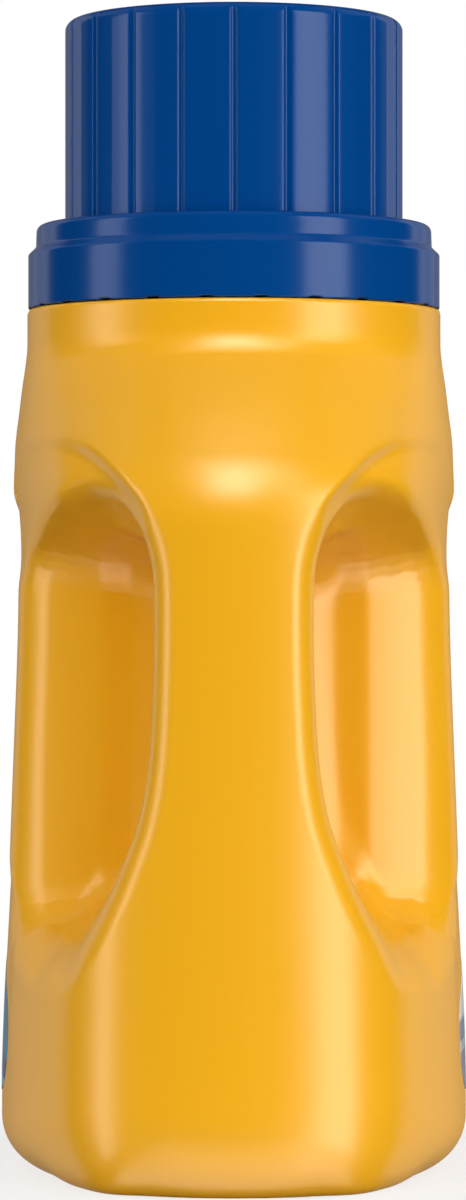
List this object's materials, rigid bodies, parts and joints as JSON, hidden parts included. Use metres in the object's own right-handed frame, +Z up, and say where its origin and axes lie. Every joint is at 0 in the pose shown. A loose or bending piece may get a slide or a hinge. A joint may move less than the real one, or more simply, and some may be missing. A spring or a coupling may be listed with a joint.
{
  "type": "detergent dispenser bottle",
  "caption": "Handled liquid detergent bottle with a rounded oblong body, side grip recess, stepped collar and fluted screw-on dosing cap over a drain-back pour spout.",
  "frame": {"origin": "centre of the flat base the bottle stands on, under the neck axis", "axes": "+Z up along the neck and cap axis; -Y is the handle side; -X faces the front label and +X the back label"},
  "size_m": [0.1064, 0.1564, 0.2584],
  "materials": {
    "body_hdpe": "yellow-orange blow-moulded polyethylene, satin",
    "closure_blue": "deep blue injection-moulded polypropylene, satin",
    "front_film": "printed film, teal above dark blue",
    "back_film": "printed film, white above grey-blue",
    "seal_foam": "foamed polyethylene, matte"
  },
  "bodies": {
    "bottle": {"bottle_body": "body_hdpe", "front_label": "front_film", "back_label": "back_film", "neck_gasket": "seal_foam", "pour_spout": "closure_blue", "transition_collar": "closure_blue"},
    "liner": {"cap_seal_ring": "seal_foam"},
    "cap": {"cap_shell": "closure_blue", "measuring_cup": "closure_blue"}
  },
  "joints": [
    {"name": "cap_lift", "type": "slide", "parent": "bottle", "child": "liner", "axis": [0, 0, 1], "range_m": [0, 0.0063]},
    {"name": "cap_turn", "type": "hinge", "parent": "liner", "child": "cap", "pos_m": [0, 0, 0.234], "axis": [0, 0, 1], "range_deg": [0, 450]}
  ],
  "couplings": [
    {"joint": "cap_lift", "follows": "cap_turn", "m_per_rad": 0.00079577}
  ]
}
